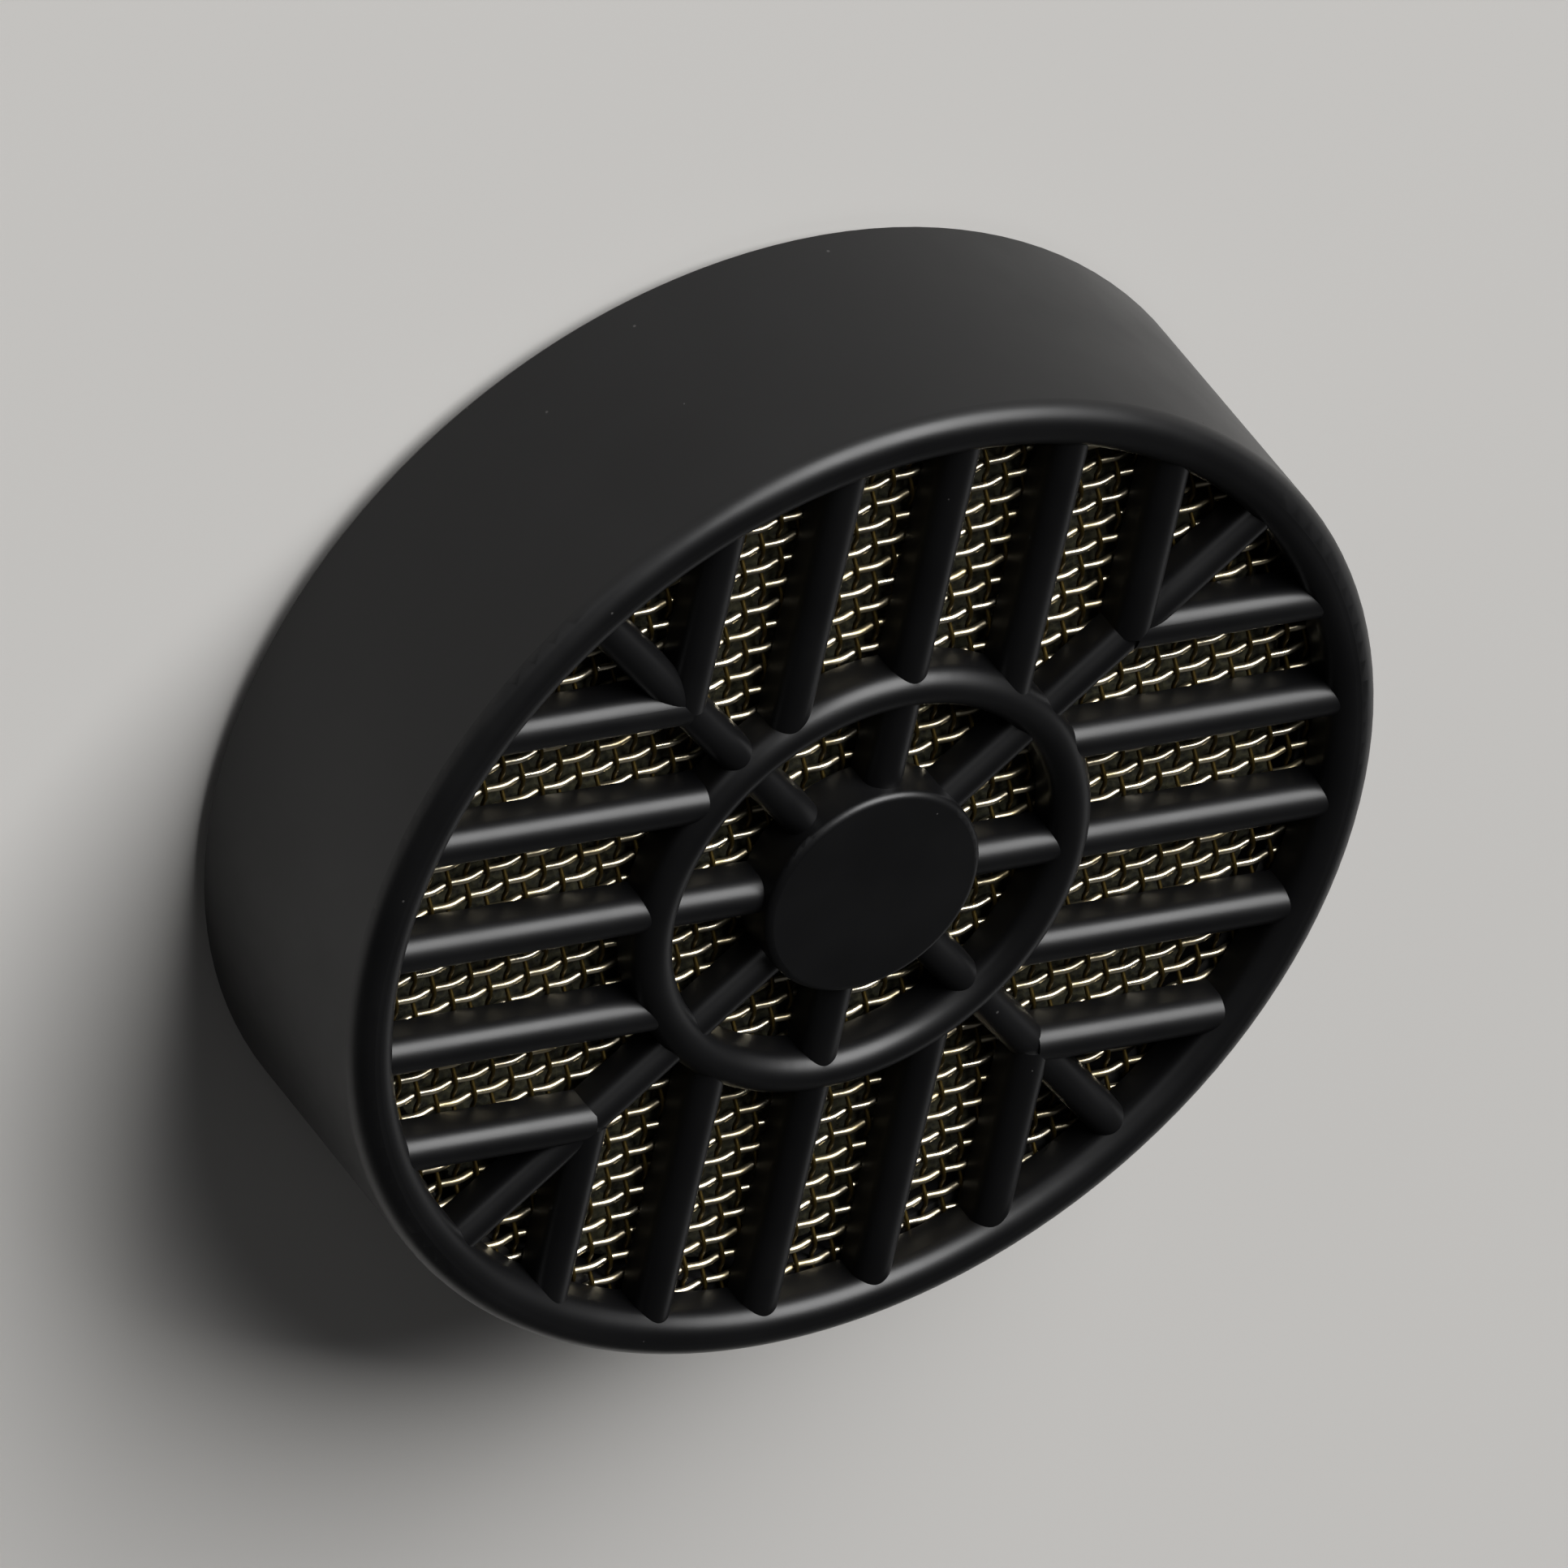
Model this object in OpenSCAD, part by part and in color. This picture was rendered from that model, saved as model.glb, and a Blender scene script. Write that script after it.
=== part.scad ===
// Round humidor humidifier: a vented puck that clings by magnets to a steel disc stuck to a panel.
// It lies on its mounting face, grille up. Origin at the centre of that face, +Z out of the grille.

/* [Case] */
// Outer diameter of the case
case_d = 74; // [64:1:90]
// Height of the case, from its back edge to the crest of its rim
case_h = 20.7; // [17:0.1:28]
// Thickness of the case's side wall
wall = 1.6; // [1.2:0.1:2.4]
// Width of the rim around the grille
rim_w = 3.2; // [3:0.1:4.4]
// Radius of the rim's two rounded edges
rim_round = 1.4; // [0.8:0.1:1.4]
// Chamfer on the outside of the back edge
edge_chamfer = 0.4; // [0.1:0.1:1]
// Width of the notch in the back edge where a nail or coin lifts the back cover
notch_w = 9; // [5:0.5:16]
// Height of that notch
notch_h = 1.4; // [0.8:0.1:3]

/* [Grille] */
// Width of the parallel ribs, which have half-round tops
rib_w = 2.7; // [2:0.1:3.4]
// Distance between the parallel ribs of a sector
rib_pitch = 8.2; // [7.4:0.1:9.4]
// Depth of the ribs, from their crests to the screen
rib_depth = 2.9; // [2.4:0.1:4]
// How far the crests of the parallel ribs lie below the crest of the rim
rib_drop = 0.4; // [0.2:0.05:0.8]
// Width of the four diagonal ribs between the sectors
diagonal_w = 2.5; // [1.8:0.1:3.2]
// How far the crests of the diagonal ribs lie below the crest of the rim
diagonal_drop = 0.6; // [0.3:0.05:0.9]
// Diameter of the inner ring, at the middle of its width
ring_d = 30.2; // [28:0.2:33]
// Width of the inner ring
ring_w = 2.8; // [2:0.1:3.4]
// How far the crest of the inner ring lies below the crest of the rim
ring_drop = 0.1; // [0.05:0.05:0.3]
// Diameter of the plain disc in the middle
hub_d = 15.5; // [11:0.5:18]
// How far that disc stands above the crest of the rim
hub_rise = 0.4; // [0.1:0.1:1.2]
// Radius of the disc's rounded edge
hub_round = 0.5; // [0.2:0.1:1]

/* [Screen] */
// Thickness of the wire screen, which is two crossing wires
screen_t = 0.9; // [0.5:0.1:1.4]
// Pitch of the net that stands for the weave
net_pitch = 3.9; // [3.8:0.1:6]
// Width of the net's bars
net_bar = 0.8; // [0.4:0.1:1.4]
// Solid border of the net, clamped under the rim
net_border = 1.2; // [0.8:0.1:2]
// Turn of the weave against the ribs, in degrees
weave_turn = 13.5; // [0:0.5:45]

/* [Screen ring] */
// Height of the ring that presses the screen against the grille
clamp_h = 2; // [1:0.1:4]
// Width of that ring
clamp_w = 1.8; // [1.2:0.1:2.6]

/* [Foam] */
// Bevel on the foam's edges
foam_bevel = 0.8; // [0.2:0.1:2]

/* [Back cover] */
// Thickness of the cover's floor over the keeper plate
cover_floor = 1.2; // [0.8:0.1:2]
// Height of the cover's skirt, from the case's back edge
skirt_h = 5.8; // [4:0.1:8]
// Thickness of the skirt
skirt_t = 1.4; // [1:0.1:2]
// Wall around each magnet
boss_wall = 1.4; // [0.8:0.1:2]
// Roof over each magnet
boss_roof = 0.8; // [0.5:0.1:1.5]
// Thickness of the fins that carry the foam
fin_w = 1.4; // [0.8:0.1:2.4]
// Radius around the centre that the fins leave open
fin_start = 4; // [2:0.5:6]

/* [Magnets] */
// Diameter of each magnet
magnet_d = 12; // [8:0.5:14]
// Thickness of each magnet
magnet_t = 3; // [2:0.1:4]
// Distance from the magnets to the keeper plate's edge
magnet_inset = 2; // [1:0.5:4]

/* [Keeper] */
// Diameter of the steel keeper plate
keeper_d = 40; // [38:1:52]
// Thickness of the keeper plate
keeper_t = 0.8; // [0.5:0.1:1.2]
// Bevel on the keeper plate's upper edge
keeper_bevel = 0.2; // [0.1:0.05:0.4]
// Distance the adhesive pad stays inside the keeper plate's edge
pad_inset = 1; // [0.5:0.5:4]
// Thickness of the adhesive pad
pad_t = 1; // [0.9:0.1:1.6]

/* [Clearances] */
// Gap between the case's back edge and the surface it is stuck to
back_gap = 0.8; // [0.4:0.1:0.8]
// Gap around the back cover's skirt in the case
cover_clearance = 0.2; // [0.1:0.05:0.4]
// Gap around the screen in the case
screen_clearance = 0.2; // [0.1:0.05:0.4]
// Gap around the pressed-in screen ring
press_clearance = 0.05; // [0.02:0.01:0.1]
// Gap around each magnet in its pocket
magnet_clearance = 0.1; // [0.05:0.05:0.2]
// Gap around the keeper plate in the cover's recess
keeper_clearance = 0.8; // [0.4:0.1:2]
// Gap around the foam
foam_side_gap = 0.7; // [0.4:0.1:2]
// Gap between the foam and the screen
foam_top_gap = 0.4; // [0.3:0.1:2]

/* [Hidden] */
$fn = 128;
sectors = 4;
ribs_beside_spoke = 2;
magnets = 3;
fins = 6;
notch_turn = -45;
// Overlap that joins a raised feature to the wall it grows from
root = 0.3;

case_r = case_d / 2;
bore_r = case_r - wall;
rim_mid_r = case_r - rim_w / 2;
crest_z = back_gap + case_h;
rim_z = crest_z - rim_round;
rim_in_r = case_r - rim_w;
screen_top_z = crest_z - rib_drop - rib_depth;
screen_z = screen_top_z - screen_t;
screen_r = bore_r - screen_clearance;
ring_r = ring_d / 2;
hub_r = hub_d / 2;
hub_top_z = crest_z + hub_rise;

clamp_r = bore_r - press_clearance;
clamp_in_r = clamp_r - clamp_w;
clamp_z = screen_z - clamp_h;

keeper_r = keeper_d / 2;
keeper_z = pad_t;
recess_z = pad_t + keeper_t;
recess_r = keeper_r + keeper_clearance;
cover_r = bore_r - cover_clearance;
floor_z = recess_z + cover_floor;
skirt_in_r = cover_r - skirt_t;
skirt_z = back_gap + skirt_h;

magnet_r = magnet_d / 2;
pocket_r = magnet_r + magnet_clearance;
boss_r = pocket_r + boss_wall;
boss_z = recess_z + magnet_t + boss_roof;
magnet_circle_r = keeper_r - magnet_inset - magnet_r;

foam_r = min(clamp_in_r, skirt_in_r) - foam_side_gap;
foam_top_z = screen_z - foam_top_gap;

black = [0.07, 0.065, 0.065];
wire = [0.76, 0.68, 0.44];
foam_green = [0.24, 0.29, 0.14];
nickel = [0.66, 0.66, 0.67];
steel = [0.58, 0.58, 0.57];
tape = [0.86, 0.85, 0.82];

// Section of a rib: a bar of width w and height h, with a half-round top springing from y = 0
module half_round(w, h) {
    intersection() {
        circle(d = w);
        translate([-w, 0]) square([2 * w, w]);
    }
    translate([-w / 2, -h]) square([w, h]);
}

// Height above the screen at which a half-round top of width w springs, if its crest lies drop below the rim's
function spring_h(w, drop) = crest_z - drop - w / 2 - screen_top_z;

// Straight rib along +Y at x, from y0 to y1, standing on z = 0
module rib(x, y0, y1, w, drop) {
    h = spring_h(w, drop);
    translate([x, y1, h])
        rotate([90, 0, 0])
            linear_extrude(y1 - y0) half_round(w, h);
}

// Where a rib at x starts: on the inner ring, or on the diagonal if it misses the ring
function rib_start(x) = x < ring_r * cos(45) ? sqrt(ring_r * ring_r - x * x) : x;
// Where it ends: buried in the rim, under the rim's crest
function rib_end(x) = sqrt(rim_mid_r * rim_mid_r - x * x);

// One of the four sectors, standing on z = 0: its spoke, the ribs beside it and a diagonal
module sector() {
    rib(0, hub_r / 2, rib_end(0), rib_w, rib_drop);
    for (i = [1 : ribs_beside_spoke], side = [-1, 1])
        rib(side * i * rib_pitch, rib_start(i * rib_pitch), rib_end(i * rib_pitch), rib_w, rib_drop);
    rotate([0, 0, 45]) rib(0, hub_r / 2, rib_end(0), diagonal_w, diagonal_drop);
}

// Side wall with the round-edged rim on top, which is wider inside and leaves a ledge for the screen
module wall_and_rim() {
    rotate_extrude() {
        for (r = [rim_in_r + rim_round, case_r - rim_round])
            translate([r, rim_z]) half_round(2 * rim_round, rim_z - screen_top_z);
        translate([rim_in_r + rim_round, screen_top_z]) square([rim_w - 2 * rim_round, crest_z - screen_top_z]);
        polygon([[bore_r, back_gap], [case_r - edge_chamfer, back_gap], [case_r, back_gap + edge_chamfer],
                 [case_r, screen_top_z], [bore_r, screen_top_z]]);
    }
}

// Plain disc in the middle of the grille, with a rounded edge
module hub() {
    rotate_extrude() {
        translate([0, screen_top_z]) square([hub_r, hub_top_z - hub_round - screen_top_z]);
        translate([0, hub_top_z - hub_round]) square([hub_r - hub_round, hub_round]);
        intersection() {
            translate([hub_r - hub_round, hub_top_z - hub_round]) circle(hub_round);
            translate([hub_r - hub_round, hub_top_z - hub_round]) square(2 * hub_round);
        }
    }
}

// Inner ring that ties the ribs together
module inner_ring() {
    h = spring_h(ring_w, ring_drop);
    rotate_extrude() translate([ring_r, screen_top_z + h]) half_round(ring_w, h);
}

// One moulding: side wall, rim, grille and middle disc
module grille_case() color(black) {
    difference() {
        wall_and_rim();
        rotate([0, 0, notch_turn])
            translate([bore_r - wall, -notch_w / 2, back_gap - notch_h])
                cube([3 * wall, notch_w, 2 * notch_h]);
    }
    inner_ring();
    hub();
    translate([0, 0, screen_top_z])
        for (i = [0 : sectors - 1]) rotate([0, 0, i * 360 / sectors]) sector();
}

// Round wire screen, as a flat net with square gaps
module mesh_screen() color(wire) {
    gaps_r = screen_r - net_border;
    gap = net_pitch - net_bar;
    n = ceil(gaps_r / net_pitch);
    translate([0, 0, screen_z]) linear_extrude(screen_t) difference() {
        circle(screen_r);
        intersection() {
            circle(gaps_r);
            rotate(weave_turn)
                for (i = [-n : n], j = [-n : n])
                    if (norm([i, j]) * net_pitch < gaps_r)
                        translate([i * net_pitch - gap / 2, j * net_pitch - gap / 2]) square(gap);
        }
    }
}

// Ring pressed into the case to hold the screen against the ledge
module screen_ring() color(black)
    rotate_extrude() translate([clamp_in_r, clamp_z]) square([clamp_w, clamp_h]);

// Puck of water-holding foam, standing on the cover's bosses and fins
module foam_pad() color(foam_green)
    rotate_extrude()
        polygon([[0, boss_z], [foam_r - foam_bevel, boss_z], [foam_r, boss_z + foam_bevel],
                 [foam_r, foam_top_z - foam_bevel], [foam_r - foam_bevel, foam_top_z], [0, foam_top_z]]);

// Puts a shape at the place of magnet i
module at_magnet(i) {
    rotate([0, 0, i * 360 / magnets]) translate([magnet_circle_r, 0, 0]) children();
}

// Back cover: a floor recessed over the keeper plate, a skirt that grips the case, magnet bosses and fins
module back_cover() color(black) {
    difference() {
        union() {
            rotate_extrude()
                polygon([[0, recess_z], [recess_r, recess_z], [recess_r, back_gap], [cover_r, back_gap],
                         [cover_r, skirt_z], [skirt_in_r, skirt_z], [skirt_in_r, floor_z], [0, floor_z]]);
            for (i = [0 : magnets - 1]) at_magnet(i)
                translate([0, 0, floor_z - root]) cylinder(r = boss_r, h = boss_z - floor_z + root);
            for (i = [0 : fins - 1]) rotate([0, 0, i * 360 / fins])
                translate([fin_start, -fin_w / 2, floor_z - root])
                    cube([skirt_in_r + root - fin_start, fin_w, boss_z - floor_z + root]);
        }
        for (i = [0 : magnets - 1]) at_magnet(i)
            translate([0, 0, recess_z - root]) cylinder(r = pocket_r, h = magnet_t + root);
    }
}

// Disc magnet, flush with the recess and touching the keeper plate
module magnet(i) color(nickel)
    at_magnet(i) translate([0, 0, recess_z]) cylinder(r = magnet_r, h = magnet_t);

// Steel disc that the magnets hold on to
module keeper_plate() color(steel)
    rotate_extrude()
        polygon([[0, keeper_z], [keeper_r, keeper_z], [keeper_r, recess_z - keeper_bevel],
                 [keeper_r - keeper_bevel, recess_z], [0, recess_z]]);

// Double-sided foam tape between the keeper plate and the panel
module adhesive_pad() color(tape) cylinder(r = keeper_r - pad_inset, h = pad_t);

adhesive_pad();
keeper_plate();
back_cover();
magnet(0);  // magnet_1
magnet(1);  // magnet_2
magnet(2);  // magnet_3
foam_pad();
grille_case();
mesh_screen();
screen_ring();
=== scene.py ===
import math

import bmesh
import bpy
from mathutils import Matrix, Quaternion, Vector


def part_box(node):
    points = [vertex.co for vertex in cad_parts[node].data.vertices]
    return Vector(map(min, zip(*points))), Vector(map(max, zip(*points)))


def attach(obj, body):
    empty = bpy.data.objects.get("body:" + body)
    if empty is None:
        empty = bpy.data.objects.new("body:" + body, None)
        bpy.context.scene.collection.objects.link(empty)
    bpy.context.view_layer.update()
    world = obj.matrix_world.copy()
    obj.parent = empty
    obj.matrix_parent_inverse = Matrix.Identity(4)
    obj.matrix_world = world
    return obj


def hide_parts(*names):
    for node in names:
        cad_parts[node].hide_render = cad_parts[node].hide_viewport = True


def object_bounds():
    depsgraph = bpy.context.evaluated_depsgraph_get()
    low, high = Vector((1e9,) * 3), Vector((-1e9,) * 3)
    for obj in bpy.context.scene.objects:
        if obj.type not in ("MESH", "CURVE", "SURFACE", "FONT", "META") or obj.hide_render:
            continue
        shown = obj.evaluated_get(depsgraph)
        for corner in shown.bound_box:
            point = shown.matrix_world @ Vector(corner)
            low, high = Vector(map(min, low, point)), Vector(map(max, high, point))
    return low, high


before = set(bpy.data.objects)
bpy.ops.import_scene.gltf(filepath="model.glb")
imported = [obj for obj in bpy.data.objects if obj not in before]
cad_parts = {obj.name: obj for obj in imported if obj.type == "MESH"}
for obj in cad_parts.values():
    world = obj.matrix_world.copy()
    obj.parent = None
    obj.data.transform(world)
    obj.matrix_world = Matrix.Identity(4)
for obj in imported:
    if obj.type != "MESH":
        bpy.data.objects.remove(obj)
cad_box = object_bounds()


# Grille case: side wall, round-edged rim, ribs and middle disc in one injection moulding of black plastic.
# The tool leaves a satin skin with faint flow clouds and a very fine grain, and some dust has settled on it.
MM = 0.001
CASE_BLACK = (0.0010, 0.0010, 0.0012, 1)
CASE_CLOUD = (0.0022, 0.0022, 0.0025, 1)
CASE_CLOUD_SIZE = 9 * MM
CASE_GRAIN_SIZE = 0.35 * MM
CASE_SMOOTH = 0.36
CASE_ROUGH = 0.44
CLOUD_DETAIL = 4.0
CLOUD_THIN = 0.3
CLOUD_THICK = 0.7
GRAIN_DETAIL = 2.0
GRAIN_DEPTH = 0.02 * MM
GRAIN_STRENGTH = 0.10
PLASTIC_SPECULAR = 0.37
DUST_GREY = (0.030, 0.029, 0.028, 1)
DUST_SPACING = 3.4 * MM
DUST_SHARE = 0.045
MIX_SHARE, MIX_FIRST, MIX_SECOND, MIX_RESULT = 0, 6, 7, 2


def node_tree(kind, name, inputs, outputs):
    """A node tree with named sockets: the tree, the sockets it is given and the node that it ends in."""
    tree = bpy.data.node_groups.new(name, kind)
    for side, sockets in (("INPUT", inputs), ("OUTPUT", outputs)):
        for socket, socket_type in sockets.items():
            tree.interface.new_socket(socket, in_out=side, socket_type="NodeSocket" + socket_type)
    return tree, tree.nodes.new("NodeGroupInput").outputs, tree.nodes.new("NodeGroupOutput")


def feed(tree, node, values):
    """Sets a node's inputs to values, or links them to sockets."""
    for socket, value in values.items():
        if isinstance(value, bpy.types.NodeSocket):
            tree.links.new(value, node.inputs[socket])
        else:
            node.inputs[socket].default_value = value


def add_node(tree, kind, values=None, **settings):
    """A new node with its settings made and its inputs fed."""
    node = tree.nodes.new(kind)
    for name, setting in settings.items():
        setattr(node, name, setting)
    feed(tree, node, values or {})
    return node


def calculated(tree, operation, *values):
    """The result of one Math node."""
    return add_node(tree, "ShaderNodeMath", dict(enumerate(values)), operation=operation).outputs[0]


def noise(tree, place, scale, detail):
    """Smooth random values between 0 and 1."""
    values = {"Vector": place, "Scale": scale, "Detail": detail}
    return add_node(tree, "ShaderNodeTexNoise", values).outputs[0]


def mixed_colour(tree, share, first, second):
    """A colour between two colours. The sockets go by number, because a Mix node repeats their names."""
    values = {MIX_SHARE: share, MIX_FIRST: first, MIX_SECOND: second}
    return add_node(tree, "ShaderNodeMix", values, data_type="RGBA").outputs[MIX_RESULT]


def moulded_skin_group():
    """Flow clouds in colour and gloss, and the fine grain of the tool."""
    tree, given, made = node_tree("ShaderNodeTree", "moulded_skin", {
        "Vector": "Vector", "Dark": "Color", "Light": "Color", "Cloud Scale": "Float", "Grain Scale": "Float",
        "Smooth": "Float", "Rough": "Float",
    }, {"Color": "Color", "Roughness": "Float", "Grain": "Float"})
    clouds = noise(tree, given["Vector"], given["Cloud Scale"], CLOUD_DETAIL)
    gloss = add_node(tree, "ShaderNodeMapRange", {
        "Value": clouds, "From Min": CLOUD_THIN, "From Max": CLOUD_THICK,
        "To Min": given["Smooth"], "To Max": given["Rough"],
    })
    feed(tree, made, {
        "Color": mixed_colour(tree, clouds, given["Dark"], given["Light"]),
        "Roughness": gloss.outputs[0],
        "Grain": noise(tree, given["Vector"], given["Grain Scale"], GRAIN_DETAIL),
    })
    return tree


def dust_group():
    """A mask of small specks, where the surface passes close by the middle of a scattered cell."""
    tree, given, made = node_tree("ShaderNodeTree", "settled_dust", {
        "Vector": "Vector", "Scale": "Float", "Share": "Float",
    }, {"Mask": "Float"})
    cells = add_node(tree, "ShaderNodeTexVoronoi", {"Vector": given["Vector"], "Scale": given["Scale"]})
    size = add_node(tree, "ShaderNodeSeparateColor", {"Color": cells.outputs["Color"]})
    reach = calculated(tree, "MULTIPLY", size.outputs[0], given["Share"])
    feed(tree, made, {"Mask": calculated(tree, "LESS_THAN", cells.outputs["Distance"], reach)})
    return tree


moulded_skin = moulded_skin_group()
settled_dust = dust_group()


def new_material(name):
    """A material, its node tree, its shader and its Object coordinates."""
    material = bpy.data.materials.new(name)
    material.use_nodes = True
    tree = material.node_tree
    place = tree.nodes.new("ShaderNodeTexCoord").outputs["Object"]
    return material, tree, tree.nodes["Principled BSDF"], place


def black_plastic(name, dark, light, cloud_size, grain_size, smooth, rough):
    """Moulded black plastic with specks of dust."""
    material, tree, shader, place = new_material(name)
    skin = add_node(tree, "ShaderNodeGroup", {
        "Vector": place, "Dark": dark, "Light": light, "Cloud Scale": 1 / cloud_size,
        "Grain Scale": 1 / grain_size, "Smooth": smooth, "Rough": rough,
    }, node_tree=moulded_skin).outputs
    dust = add_node(tree, "ShaderNodeGroup", {
        "Vector": place, "Scale": 1 / DUST_SPACING, "Share": DUST_SHARE,
    }, node_tree=settled_dust).outputs["Mask"]
    grain = add_node(tree, "ShaderNodeBump", {
        "Height": skin["Grain"], "Strength": GRAIN_STRENGTH, "Distance": GRAIN_DEPTH,
    })
    feed(tree, shader, {
        "Base Color": mixed_colour(tree, dust, skin["Color"], DUST_GREY),
        "Roughness": calculated(tree, "MAXIMUM", skin["Roughness"], dust),
        "Normal": grain.outputs["Normal"],
        "Specular IOR Level": PLASTIC_SPECULAR,
    })
    return material


def dress(node, material):
    """Puts a material on a CAD piece."""
    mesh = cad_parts[node].data
    mesh.materials.clear()
    mesh.materials.append(material)


case_plastic = black_plastic("satin_case_plastic", CASE_BLACK, CASE_CLOUD, CASE_CLOUD_SIZE, CASE_GRAIN_SIZE,
                             CASE_SMOOTH, CASE_ROUGH)
dress("grille_case", case_plastic)


# Wire screen: woven wire cloth, cut to a disc and laid on the ledge under the rim.
# Its long wires are bright drawn brass and lie nearly straight. The cross wires are crimped over one long
# wire and under the next, and are coloured near black and rough as painted shade, so that only the long
# wires' stretches between them catch the light.
screen_low, screen_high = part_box("mesh_screen")
SCREEN_REACH = (screen_high.x - screen_low.x) / 2
SCREEN_MIDDLE = (screen_high.z + screen_low.z) / 2
LONG_WIRE_D = 0.52 * MM
CROSS_WIRE_D = 0.32 * MM
LONG_CRIMP = 0.12 * MM
# Wires touch where they cross, so the two crimps are half the sum of the diameters apart.
CROSS_CRIMP = LONG_CRIMP - (LONG_WIRE_D + CROSS_WIRE_D) / 2
LONG_WIRE_PITCH = 1.67 * MM
CROSS_WIRE_PITCH = 1.34 * MM
WEAVE_TURN = math.radians(13.5)
WIRE_WAVER = 0.10 * MM
WAVER_LENGTH = 14 * MM
WAVER_DETAIL = 1.0
WIRE_SIDES = 6
STEPS_PER_CRIMP = 4
BRASS_BRIGHT = (0.78, 0.71, 0.55, 1)
BRASS_DULL = (0.47, 0.39, 0.22, 1)
BRASS_SMOOTH = 0.27
BRASS_ROUGH = 0.42
# Painted shade: the cross wires are the same metal as the long ones, coloured near black for the shade they
# stay in.
SHADED_CROSS_BRIGHT = (0.100, 0.070, 0.020, 1)
SHADED_CROSS_DULL = (0.050, 0.034, 0.010, 1)
SHADED_CROSS_SMOOTH = 0.45
SHADED_CROSS_ROUGH = 0.60
WIRE_MOTTLE = 2.5 * MM
TARNISH_DETAIL = 5.0
TARNISH_START = 0.35
TARNISH_FULL = 0.7


def metal_tarnish_group():
    """Bright metal that is duller and rougher in patches."""
    tree, given, made = node_tree("ShaderNodeTree", "metal_tarnish", {
        "Vector": "Vector", "Bright": "Color", "Dull": "Color", "Scale": "Float", "Smooth": "Float",
        "Rough": "Float",
    }, {"Color": "Color", "Roughness": "Float"})
    share = add_node(tree, "ShaderNodeMapRange", {
        "Value": noise(tree, given["Vector"], given["Scale"], TARNISH_DETAIL),
        "From Min": TARNISH_START, "From Max": TARNISH_FULL,
    }).outputs[0]
    gloss = add_node(tree, "ShaderNodeMapRange", {
        "Value": share, "To Min": given["Smooth"], "To Max": given["Rough"],
    })
    feed(tree, made, {
        "Color": mixed_colour(tree, share, given["Bright"], given["Dull"]),
        "Roughness": gloss.outputs[0],
    })
    return tree


metal_tarnish = metal_tarnish_group()


def tarnished_metal(name, bright, dull, patch_size, smooth, rough):
    """A metal that is bright and dull in patches, with its tree, shader and coordinates for more detail."""
    material, tree, shader, place = new_material(name)
    patches = add_node(tree, "ShaderNodeGroup", {
        "Vector": place, "Bright": bright, "Dull": dull, "Scale": 1 / patch_size, "Smooth": smooth,
        "Rough": rough,
    }, node_tree=metal_tarnish).outputs
    feed(tree, shader, {"Base Color": patches["Color"], "Roughness": patches["Roughness"], "Metallic": 1.0})
    return material, tree, shader, place


def crimped_wires_tree():
    """Parallel wires along X, each a wave over and under the crossing wires, cut off at a round edge."""
    tree, given, made = node_tree("GeometryNodeTree", "crimped_wires", {
        "Wire Diameter": "Float", "Spacing": "Float", "Crimp Pitch": "Float", "Reach": "Float",
        "Lift": "Float", "Waver": "Float", "Waver Scale": "Float",
    }, {"Geometry": "Geometry"})
    spacing, crimp, reach = given["Spacing"], given["Crimp Pitch"], given["Reach"]

    def times(*values):
        return calculated(tree, "MULTIPLY", *values)

    def vector(**parts):
        return add_node(tree, "ShaderNodeCombineXYZ", parts).outputs[0]

    per_side = calculated(tree, "FLOOR", calculated(tree, "DIVIDE", reach, spacing))
    half = times(calculated(tree, "CEIL", calculated(tree, "DIVIDE", reach, crimp)), crimp)
    starts = add_node(tree, "GeometryNodeMeshLine", {
        "Count": calculated(tree, "MULTIPLY_ADD", per_side, 2.0, 1.0),
        "Start Location": vector(Y=times(times(per_side, spacing), -1.0)),
        "Offset": vector(Y=spacing),
    })
    straight = add_node(tree, "GeometryNodeCurvePrimitiveLine", {
        "Start": vector(X=times(half, -1.0)),
        "End": vector(X=half),
    })
    stepped = add_node(tree, "GeometryNodeResampleCurve", {
        "Curve": straight.outputs[0],
        "Length": calculated(tree, "DIVIDE", crimp, STEPS_PER_CRIMP),
    }, mode="LENGTH")
    placed = add_node(tree, "GeometryNodeInstanceOnPoints", {
        "Points": starts.outputs[0],
        "Instance": stepped.outputs[0],
    })
    wires = add_node(tree, "GeometryNodeRealizeInstances", {"Geometry": placed.outputs[0]})

    spot = add_node(tree, "GeometryNodeInputPosition").outputs[0]
    along = add_node(tree, "ShaderNodeSeparateXYZ", {"Vector": spot}).outputs
    waves = [
        calculated(tree, "COSINE", times(calculated(tree, "DIVIDE", along[axis], pitch), math.pi))
        for axis, pitch in (("X", crimp), ("Y", spacing))
    ]
    drift = noise(tree, spot, given["Waver Scale"], WAVER_DETAIL)
    aside = times(calculated(tree, "MULTIPLY_ADD", drift, 2.0, -1.0), given["Waver"])
    crimped = add_node(tree, "GeometryNodeSetPosition", {
        "Geometry": wires.outputs[0],
        "Offset": vector(Y=aside, Z=times(times(*waves), given["Lift"])),
    })
    from_middle = add_node(tree, "ShaderNodeVectorMath", {0: spot}, operation="LENGTH").outputs["Value"]
    trimmed = add_node(tree, "GeometryNodeDeleteGeometry", {
        "Geometry": crimped.outputs[0],
        "Selection": calculated(tree, "GREATER_THAN", from_middle, reach),
    }, domain="POINT")
    section = add_node(tree, "GeometryNodeCurvePrimitiveCircle", {
        "Resolution": WIRE_SIDES,
        "Radius": calculated(tree, "DIVIDE", given["Wire Diameter"], 2.0),
    })
    drawn = add_node(tree, "GeometryNodeCurveToMesh", {
        "Curve": trimmed.outputs[0],
        "Profile Curve": section.outputs[0],
        "Fill Caps": True,
    })
    feed(tree, made, {"Geometry": drawn.outputs[0]})
    return tree


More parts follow.
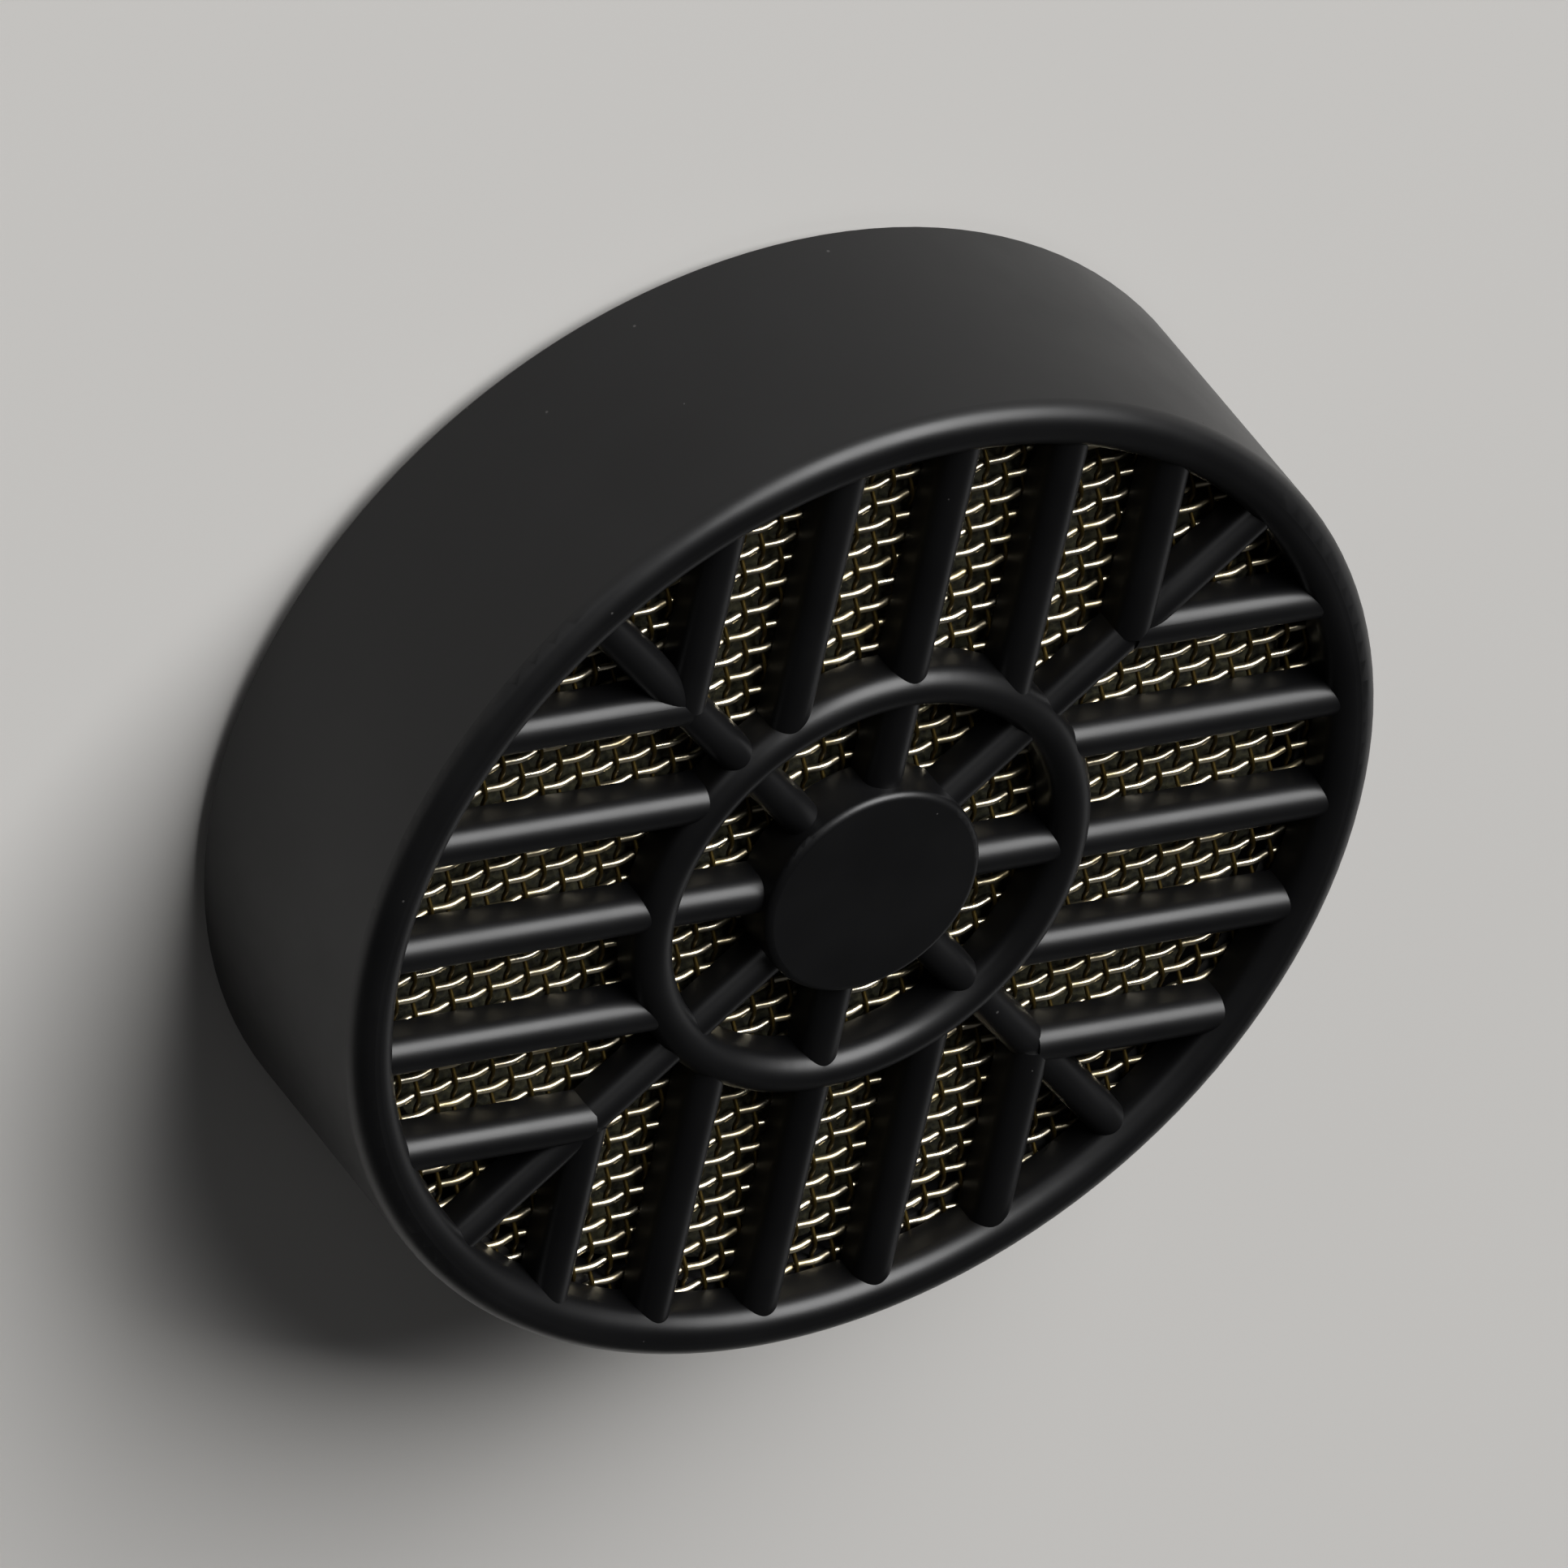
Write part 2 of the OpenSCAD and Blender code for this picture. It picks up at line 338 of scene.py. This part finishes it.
def finished(tree, geometry, material):
    """Geometry that is shaded smooth, made real and given its material."""
    smooth = add_node(tree, "GeometryNodeSetShadeSmooth", {"Geometry": geometry})
    real = add_node(tree, "GeometryNodeRealizeInstances", {"Geometry": smooth.outputs[0]})
    dressed = add_node(tree, "GeometryNodeSetMaterial", {"Geometry": real.outputs[0], "Material": material})
    return dressed.outputs[0]


def woven_cloth_tree(long_finish, cross_finish):
    """Two sets of crimped wires at right angles, which rise where the other set dips."""
    tree, given, made = node_tree("GeometryNodeTree", "woven_cloth", {
        "Geometry": "Geometry", "Reach": "Float", "Turn": "Float", "Middle Height": "Float", "Waver": "Float",
        "Waver Scale": "Float", "Long Diameter": "Float", "Long Pitch": "Float", "Long Crimp": "Float",
        "Cross Diameter": "Float", "Cross Pitch": "Float", "Cross Crimp": "Float",
    }, {"Geometry": "Geometry"})
    wires = crimped_wires_tree()
    cloth = add_node(tree, "GeometryNodeJoinGeometry")
    wire_sets = (("Long", "Cross", 0.0, long_finish), ("Cross", "Long", math.pi / 2, cross_finish))
    for kind, other, quarter, finish in wire_sets:
        one_set = add_node(tree, "GeometryNodeGroup", {
            "Wire Diameter": given[kind + " Diameter"], "Spacing": given[kind + " Pitch"],
            "Lift": given[kind + " Crimp"], "Crimp Pitch": given[other + " Pitch"], "Reach": given["Reach"],
            "Waver": given["Waver"], "Waver Scale": given["Waver Scale"],
        }, node_tree=wires)
        turn = calculated(tree, "ADD", given["Turn"], quarter)
        laid = add_node(tree, "GeometryNodeTransform", {
            "Geometry": one_set.outputs[0],
            "Rotation": add_node(tree, "ShaderNodeCombineXYZ", {"Z": turn}).outputs[0],
            "Translation": add_node(tree, "ShaderNodeCombineXYZ", {"Z": given["Middle Height"]}).outputs[0],
        })
        feed(tree, cloth, {0: finished(tree, laid.outputs[0], finish)})
    feed(tree, made, {"Geometry": cloth.outputs[0]})
    return tree


def grown(name, tree, values, start):
    """What a geometry tree makes of a mesh, as an object with a plain mesh and no modifier."""
    piece = bpy.data.objects.new(name, start)
    bpy.context.scene.collection.objects.link(piece)
    growth = piece.modifiers.new(name, "NODES")
    growth.node_group = tree
    for socket in tree.interface.items_tree:
        if socket.in_out == "INPUT" and socket.name in values:
            growth[socket.identifier] = values[socket.name]
    evaluated = piece.evaluated_get(bpy.context.evaluated_depsgraph_get())
    mesh = bpy.data.meshes.new_from_object(evaluated)
    piece.modifiers.remove(growth)
    piece.data = mesh
    return piece


brass, *_ = tarnished_metal("drawn_brass_wire", BRASS_BRIGHT, BRASS_DULL, WIRE_MOTTLE, BRASS_SMOOTH,
                            BRASS_ROUGH)
# The cross wires' material is painted shade, a near-black copy of the wire metal.
shade_painted_wire, *_ = tarnished_metal("shade_painted_cross_wire", SHADED_CROSS_BRIGHT, SHADED_CROSS_DULL, WIRE_MOTTLE, SHADED_CROSS_SMOOTH,
                               SHADED_CROSS_ROUGH)
wire_screen = grown("wire_screen", woven_cloth_tree(brass, shade_painted_wire), {
    "Reach": SCREEN_REACH - LONG_WIRE_D, "Turn": WEAVE_TURN, "Middle Height": SCREEN_MIDDLE,
    "Waver": WIRE_WAVER, "Waver Scale": 1 / WAVER_LENGTH,
    "Long Diameter": LONG_WIRE_D, "Long Pitch": LONG_WIRE_PITCH, "Long Crimp": LONG_CRIMP,
    "Cross Diameter": CROSS_WIRE_D, "Cross Pitch": CROSS_WIRE_PITCH, "Cross Crimp": CROSS_CRIMP,
}, bpy.data.meshes.new("wire_screen"))
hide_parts("mesh_screen")
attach(wire_screen, "case")


# Screen ring: a plain moulded hoop, pressed into the case to hold the cloth's edge against the ledge.
# It is of the same plastic as the back cover, straight off an unpolished tool, so it is duller than the case.
RING_BLACK = (0.0080, 0.0078, 0.0080, 1)
RING_CLOUD = (0.0110, 0.0107, 0.0108, 1)
RING_CLOUD_SIZE = 6 * MM
RING_GRAIN_SIZE = 0.25 * MM
RING_SMOOTH = 0.52
RING_ROUGH = 0.60

inner_plastic = black_plastic("dull_inner_plastic", RING_BLACK, RING_CLOUD, RING_CLOUD_SIZE, RING_GRAIN_SIZE,
                              RING_SMOOTH, RING_ROUGH)
dress("screen_ring", inner_plastic)


# Foam puck: water-holding foam, dark olive green, die-cut from a block, with crushed edges and torn pores.
# It lies loose in the case, on the bosses and fins of the back cover, and stays damp and dark.
foam_low, foam_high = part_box("foam_pad")
FOAM_R = (foam_high.x - foam_low.x) / 2
FOAM_EDGE = 1.1 * MM
FOAM_VOXEL = 0.5 * MM
FOAM_ROUND_STEPS = 160
FOAM_EDGE_STEPS = 4
PORE_SIZE = 1.5 * MM
PORE_DEPTH = 0.42 * MM
PORE_FLOOR = 0.1
PORE_RIM = 0.42
CRUMB_SIZE = 3 * MM
CRUMB_DEPTH = 0.22 * MM
CRUMB_DETAIL = 5.0
# The dark foam colour serves both as the damp foam's own tone and as painted shade in the hollows of the
# small cells.
FOAM_DARK_AND_CELL_SHADE = (0.005, 0.005, 0.002, 1)
FOAM_PALE = (0.030, 0.028, 0.011, 1)
DRY_DETAIL = 6.0
DRY_START = 0.05
DRY_FULL = 0.4
CELL_SIZE = 0.45 * MM
CELL_DEPTH = 0.12 * MM
FOAM_ROUGHNESS = 0.92


def lathed(name, profile, steps):
    """A closed solid of revolution about Z, from (radius, height) points that start and end on the axis."""
    shape = bmesh.new()
    turns = [2 * math.pi * i / steps for i in range(steps)]
    rings = []
    for r, z in profile:
        around = turns if r > 0 else turns[:1]
        rings.append([shape.verts.new((r * math.cos(t), r * math.sin(t), z)) for t in around])
    for low, high in zip(rings, rings[1:]):
        for i in range(steps):
            corners = [
                low[i % len(low)], low[(i + 1) % len(low)],
                high[(i + 1) % len(high)], high[i % len(high)],
            ]
            shape.faces.new(list(dict.fromkeys(corners)))
    bmesh.ops.recalc_face_normals(shape, faces=shape.faces)
    mesh = bpy.data.meshes.new(name)
    shape.to_mesh(mesh)
    shape.free()
    return mesh


def quarter_round(centre_r, centre_z, radius, start, steps):
    """Points on a quarter of a circle in a profile, from the angle start in degrees."""
    angles = [math.radians(start + 90 * i / steps) for i in range(steps + 1)]
    return [(centre_r + radius * math.cos(a), centre_z + radius * math.sin(a)) for a in angles]


def evenly_meshed(mesh, voxel):
    """The same solid with faces of one size, by a voxel remesh."""
    holder = bpy.data.objects.new(mesh.name, mesh)
    bpy.context.scene.collection.objects.link(holder)
    remesh = holder.modifiers.new("even_faces", "REMESH")
    remesh.mode = "VOXEL"
    remesh.voxel_size = voxel
    even = bpy.data.meshes.new_from_object(holder.evaluated_get(bpy.context.evaluated_depsgraph_get()))
    bpy.data.objects.remove(holder)
    return even


def cell_distance(tree, place, scale):
    """The distance from the middle of the nearest of many scattered cells."""
    values = {"Vector": place, "Scale": scale}
    return add_node(tree, "ShaderNodeTexVoronoi", values).outputs["Distance"]


def torn_foam_tree(material):
    """Pushes a surface in at the pores and, more gently, where the cut has crumbled."""
    tree, given, made = node_tree("GeometryNodeTree", "torn_foam", {
        "Geometry": "Geometry", "Pore Scale": "Float", "Pore Depth": "Float", "Crumb Scale": "Float",
        "Crumb Depth": "Float",
    }, {"Geometry": "Geometry"})
    spot = add_node(tree, "GeometryNodeInputPosition").outputs[0]
    pores = add_node(tree, "ShaderNodeMapRange", {
        "Value": cell_distance(tree, spot, given["Pore Scale"]),
        "From Min": PORE_FLOOR, "From Max": PORE_RIM, "To Min": 1.0, "To Max": 0.0,
    }, interpolation_type="SMOOTHSTEP")
    crumbs = noise(tree, spot, given["Crumb Scale"], CRUMB_DETAIL)
    sunk = calculated(tree, "ADD", calculated(tree, "MULTIPLY", pores.outputs[0], given["Pore Depth"]),
                      calculated(tree, "MULTIPLY", crumbs, given["Crumb Depth"]))
    inwards = add_node(tree, "ShaderNodeVectorMath", {
        0: add_node(tree, "GeometryNodeInputNormal").outputs[0],
        "Scale": calculated(tree, "MULTIPLY", sunk, -1.0),
    }, operation="SCALE")
    torn = add_node(tree, "GeometryNodeSetPosition", {
        "Geometry": given["Geometry"],
        "Offset": inwards.outputs[0],
    })
    feed(tree, made, {"Geometry": finished(tree, torn.outputs[0], material)})
    return tree


def damp_foam():
    """Olive-green foam of small open cells, paler where the cut has dried, with painted shade darkening the
    middle of each cell.
    """
    material, tree, shader, place = new_material("damp_green_foam")
    dry = noise(tree, place, 1 / CRUMB_SIZE, DRY_DETAIL)
    cells = cell_distance(tree, place, 1 / CELL_SIZE)
    # Painted shade: the colour is darkest at the middle of each small cell, where the bump sinks the surface
    # into a hollow.
    share = add_node(tree, "ShaderNodeMapRange", {
        "Value": calculated(tree, "MULTIPLY", dry, cells), "From Min": DRY_START, "From Max": DRY_FULL,
    })
    bump = add_node(tree, "ShaderNodeBump", {"Height": cells, "Distance": CELL_DEPTH})
    feed(tree, shader, {
        "Base Color": mixed_colour(tree, share.outputs[0], FOAM_DARK_AND_CELL_SHADE, FOAM_PALE),
        "Normal": bump.outputs["Normal"],
        "Roughness": FOAM_ROUGHNESS,
    })
    return material


inside = FOAM_R - FOAM_EDGE
foam_profile = [(0, foam_low.z)]
foam_profile += quarter_round(inside, foam_low.z + FOAM_EDGE, FOAM_EDGE, -90, FOAM_EDGE_STEPS)
foam_profile += quarter_round(inside, foam_high.z - FOAM_EDGE, FOAM_EDGE, 0, FOAM_EDGE_STEPS)
foam_profile += [(0, foam_high.z)]
foam_puck = grown("foam_puck", torn_foam_tree(damp_foam()), {
    "Pore Scale": 1 / PORE_SIZE, "Pore Depth": PORE_DEPTH,
    "Crumb Scale": 1 / CRUMB_SIZE, "Crumb Depth": CRUMB_DEPTH,
}, evenly_meshed(lathed("foam_puck", foam_profile, FOAM_ROUND_STEPS), FOAM_VOXEL))
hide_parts("foam_pad")
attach(foam_puck, "cover")


# Back cover: plugs into the back of the case, with magnet pockets and fins that keep the foam off its floor.
# It is moulded in the same dull black plastic as the screen ring.
dress("back_cover", inner_plastic)


# Magnets: three nickel-plated discs, glued flush into the cover's pockets.
# The plating is bright with a slight orange cast, and a little mottled.
NICKEL_BRIGHT = (0.66, 0.63, 0.58, 1)
NICKEL_DULL = (0.46, 0.43, 0.39, 1)
NICKEL_PATCH = 2 * MM
NICKEL_SMOOTH = 0.14
NICKEL_ROUGH = 0.30

nickel, *_ = tarnished_metal("nickel_plate", NICKEL_BRIGHT, NICKEL_DULL, NICKEL_PATCH, NICKEL_SMOOTH,
                             NICKEL_ROUGH)
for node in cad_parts:
    if node.startswith("magnet_"):
        dress(node, nickel)


# Keeper plate: a disc stamped from cold-rolled steel strip, which stays behind when the puck is pulled off.
# The rolls have left a fine grain along the strip.
STEEL_BRIGHT = (0.58, 0.58, 0.57, 1)
STEEL_DULL = (0.38, 0.37, 0.36, 1)
STEEL_PATCH = 6 * MM
STEEL_SMOOTH = 0.28
STEEL_ROUGH = 0.42
ROLL_GRAIN_WIDTH = 0.12 * MM
ROLL_GRAIN_LENGTH = 9 * MM
ROLL_GRAIN_DEPTH = 0.01 * MM
ROLL_GRAIN_DETAIL = 3.0


def rolled_steel():
    """Steel with duller patches, and with the grain of the rolls along X."""
    steel, tree, shader, place = tarnished_metal("rolled_steel", STEEL_BRIGHT, STEEL_DULL, STEEL_PATCH,
                                                 STEEL_SMOOTH, STEEL_ROUGH)
    stretched = add_node(tree, "ShaderNodeMapping", {
        "Vector": place,
        "Scale": (1 / ROLL_GRAIN_LENGTH, 1 / ROLL_GRAIN_WIDTH, 1 / ROLL_GRAIN_WIDTH),
    })
    grain = noise(tree, stretched.outputs[0], 1.0, ROLL_GRAIN_DETAIL)
    bump = add_node(tree, "ShaderNodeBump", {"Height": grain, "Distance": ROLL_GRAIN_DEPTH})
    feed(tree, shader, {"Normal": bump.outputs["Normal"]})
    return steel


dress("keeper_plate", rolled_steel())


# Adhesive pad: a die-cut disc of white foam tape that fixes the keeper plate to a flat surface.
# Two thin adhesive films hold a soft foam core between them, and the core bulges a little at the edge.
tape_low, tape_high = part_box("adhesive_pad")
TAPE_R = (tape_high.x - tape_low.x) / 2
TAPE_FILM = 0.08 * MM
TAPE_BULGE = 0.18 * MM
TAPE_BULGE_STEPS = 8
TAPE_ROUND_STEPS = 128
TAPE_WHITE = (0.74, 0.72, 0.67, 1)
TAPE_GREY = (0.58, 0.56, 0.51, 1)
TAPE_CELL = 0.30 * MM
TAPE_CELL_DEPTH = 0.06 * MM
TAPE_ROUGHNESS = 0.75


def foam_tape():
    """White foam with fine closed cells."""
    material, tree, shader, place = new_material("white_foam_tape")
    cells = cell_distance(tree, place, 1 / TAPE_CELL)
    bump = add_node(tree, "ShaderNodeBump", {"Height": cells, "Distance": TAPE_CELL_DEPTH})
    feed(tree, shader, {
        "Base Color": mixed_colour(tree, cells, TAPE_WHITE, TAPE_GREY),
        "Normal": bump.outputs["Normal"],
        "Roughness": TAPE_ROUGHNESS,
    })
    return material


core_low = tape_low.z + TAPE_FILM
core_high = tape_high.z - TAPE_FILM
core_edge = []
for i in range(TAPE_BULGE_STEPS + 1):
    rise = i / TAPE_BULGE_STEPS
    drawn_in = TAPE_BULGE * (1 - math.sin(math.pi * rise))
    core_edge.append((TAPE_R - drawn_in, core_low + (core_high - core_low) * rise))
tape_profile = [(0, tape_low.z), (TAPE_R, tape_low.z), (TAPE_R, core_low), *core_edge, (TAPE_R, core_high),
                (TAPE_R, tape_high.z), (0, tape_high.z)]
tape_pad = bpy.data.objects.new("foam_tape_pad", lathed("foam_tape_pad", tape_profile, TAPE_ROUND_STEPS))
bpy.context.scene.collection.objects.link(tape_pad)
tape_pad.data.materials.append(foam_tape())
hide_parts("adhesive_pad")
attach(tape_pad, "keeper")


# Floor: a plain pale matt sheet, which the puck is stuck to.
# It reaches far enough to fill the view from any side.
FLOOR_SIZE = 30.0
FLOOR_COLOUR = (0.46, 0.45, 0.435, 1)
FLOOR_ROUGHNESS = 0.9

floor_shape = bmesh.new()
bmesh.ops.create_grid(floor_shape, x_segments=1, y_segments=1, size=FLOOR_SIZE / 2)
floor_mesh = bpy.data.meshes.new("floor")
floor_shape.to_mesh(floor_mesh)
floor_shape.free()
floor = bpy.data.objects.new("floor", floor_mesh)
bpy.context.scene.collection.objects.link(floor)
floor_paint, floor_tree, floor_shader, _ = new_material("floor_paint")
feed(floor_tree, floor_shader, {"Base Color": FLOOR_COLOUR, "Roughness": FLOOR_ROUGHNESS})
floor_mesh.materials.append(floor_paint)


# Lights: a large softbox, 33 degrees above the floor, gives the ribs and the rim their broad highlights.
# A weak side panel and a low panel draw thin lines along the other edges, and the room is dim and even.
LAMPS = {
    "softbox": {
        "direction": (0.27, 0.80, 0.54), "distance": 4.2, "width": 3.6, "height": 3.3, "power": 432.0,
    },
    "side_panel": {
        "direction": (-0.73, 0.66, 0.26), "distance": 4.8, "width": 2.7, "height": 2.1, "power": 18.0,
    },
    "low_panel": {
        "direction": (0.86, -0.49, 0.12), "distance": 4.8, "width": 4.2, "height": 1.8, "power": 14.0,
    },
}
ROOM_COLOUR = (1, 1, 1, 1)
ROOM_LIGHT = 0.04
aim = (cad_box[0] + cad_box[1]) / 2

for name, panel in LAMPS.items():
    light = bpy.data.lights.new(name, "AREA")
    light.shape = "RECTANGLE"
    light.size = panel["width"]
    light.size_y = panel["height"]
    light.energy = panel["power"]
    direction = Vector(panel["direction"]).normalized()
    lamp = bpy.data.objects.new(name, light)
    lamp.location = aim + direction * panel["distance"]
    lamp.rotation_euler = direction.to_track_quat("Z", "Y").to_euler()
    bpy.context.scene.collection.objects.link(lamp)

room = bpy.data.worlds.new("room")
room.use_nodes = True
feed(room.node_tree, room.node_tree.nodes["Background"], {"Color": ROOM_COLOUR, "Strength": ROOM_LIGHT})
bpy.context.scene.world = room
bpy.context.scene.view_settings.view_transform = "Standard"


# Camera: where the photograph was taken from, two and a half metres away, turned as the photograph is.
# A longer lens brings the puck close.
CAMERA_AZIMUTH = math.radians(221.05)
CAMERA_ELEVATION = math.radians(41.31)
CAMERA_ROLL = math.radians(140.45)
CAMERA_DISTANCE = 2.487
CAMERA_LENS = 900
CAMERA_SIGHT = 100
CAMERA_AIM = Vector((-0.33, 0.42, 10.39)) * MM

lens = bpy.data.cameras.new("camera")
lens.lens = CAMERA_LENS
lens.clip_end = CAMERA_SIGHT
camera = bpy.data.objects.new("camera", lens)
back = Vector((
    math.sin(CAMERA_AZIMUTH) * math.cos(CAMERA_ELEVATION),
    -math.cos(CAMERA_AZIMUTH) * math.cos(CAMERA_ELEVATION),
    math.sin(CAMERA_ELEVATION),
))
camera.location = CAMERA_AIM + back * CAMERA_DISTANCE
camera.rotation_mode = "QUATERNION"
camera.rotation_quaternion = (-back).to_track_quat("-Z", "Y") @ Quaternion((0, 0, 1), CAMERA_ROLL)
bpy.context.scene.collection.objects.link(camera)
bpy.context.scene.camera = camera
